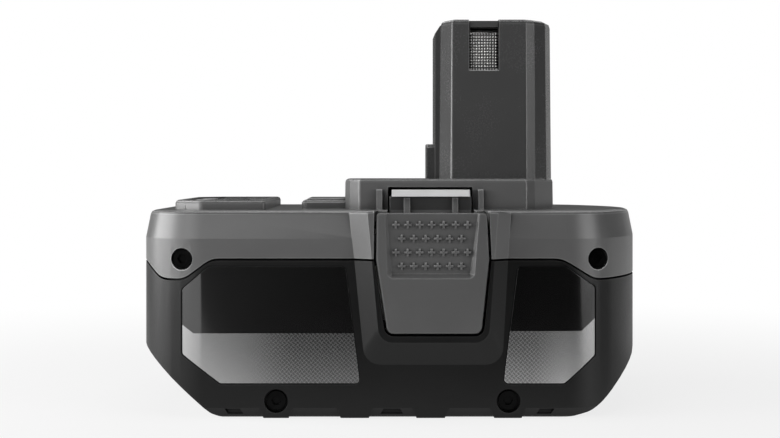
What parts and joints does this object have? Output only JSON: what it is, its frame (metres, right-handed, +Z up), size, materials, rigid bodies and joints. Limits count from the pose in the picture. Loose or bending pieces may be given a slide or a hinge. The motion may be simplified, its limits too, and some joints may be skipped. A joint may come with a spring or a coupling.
{
  "type": "power tool battery pack",
  "caption": "Slide-in battery pack for cordless tools: dark lower case, grey cover with a tall contact stem, sprung side latch buttons with steel hooks, and a charge gauge",
  "frame": {"origin": "centre of the outline on the flat underside, on the surface the pack stands on", "axes": "+X from the gauge end to the stem end, +Y across to the far latch, +Z up along the stem"},
  "size_m": [0.12, 0.082, 0.0943],
  "materials": {
    "cover_grey": "fine moulded grain, satin",
    "case_black": "fine moulded grain, matt",
    "block_dark": "smooth moulded",
    "contact_metal": "plated, knurled",
    "button_grey": "moulded, satin",
    "bright_steel": "bright formed sheet",
    "spring_steel": "drawn wire",
    "holder_plastic": "moulded",
    "board_green": "coated board",
    "lamp_white": "moulded lamp bodies",
    "window_clear": "translucent, polished",
    "screw_steel": "dark plated",
    "label_film": "printed film, dark above, fine grey weave below",
    "cell_wrap": "shrink sleeve",
    "nickel": "plain strip"
  },
  "bodies": {
    "pack": {"top_cover": "cover_grey", "bottom_case": "case_black", "terminal_block": "block_dark", "contact_positive": "contact_metal", "contact_negative": "contact_metal", "sense_contacts": "contact_metal", "latch_pin_near": "bright_steel", "latch_pin_far": "bright_steel", "latch_spring_near": "spring_steel", "latch_spring_far": "spring_steel", "cell_holder_near": "holder_plastic", "cell_holder_far": "holder_plastic", "circuit_board": "board_green", "gauge_leds": "lamp_white", "gauge_switch": "block_dark", "gauge_window": "window_clear", "cover_screws": "screw_steel", "case_screws": "screw_steel", "label_front_near": "label_film", "label_rear_near": "label_film", "label_front_far": "label_film", "label_rear_far": "label_film", "cell_1": "cell_wrap", "cell_2": "cell_wrap", "cell_3": "cell_wrap", "cell_4": "cell_wrap", "cell_5": "cell_wrap", "cell_6": "cell_wrap", "cell_7": "cell_wrap", "cell_8": "cell_wrap", "cell_9": "cell_wrap", "cell_10": "cell_wrap", "strip_near_1": "nickel", "strip_near_2": "nickel", "strip_near_3": "nickel", "strip_far_1": "nickel", "strip_far_2": "nickel", "strip_far_3": "nickel"},
    "latch_near": {"latch_button_near": "button_grey", "latch_hook_near": "bright_steel"},
    "latch_far": {"latch_button_far": "button_grey", "latch_hook_far": "bright_steel"},
    "gauge_key": {"gauge_button": "button_grey"}
  },
  "joints": [
    {"name": "latch_near_press", "type": "hinge", "parent": "pack", "child": "latch_near", "pos_m": [0.008, -0.0366, 0.0216], "axis": [-1, 0, 0], "range_deg": [0, 7], "stiffness_Nm_per_rad": 0.3, "springref_deg": -17.19, "deforming": ["latch_spring_near"]},
    {"name": "latch_far_press", "type": "hinge", "parent": "pack", "child": "latch_far", "pos_m": [0.008, 0.0366, 0.0216], "axis": [1, 0, 0], "range_deg": [0, 7], "stiffness_Nm_per_rad": 0.3, "springref_deg": -17.19, "deforming": ["latch_spring_far"]},
    {"name": "gauge_button_press", "type": "slide", "parent": "pack", "child": "gauge_key", "axis": [0, 0, -1], "range_m": [0, 0.0006], "stiffness_N_per_m": 50, "springref_m": -0.002}
  ]
}
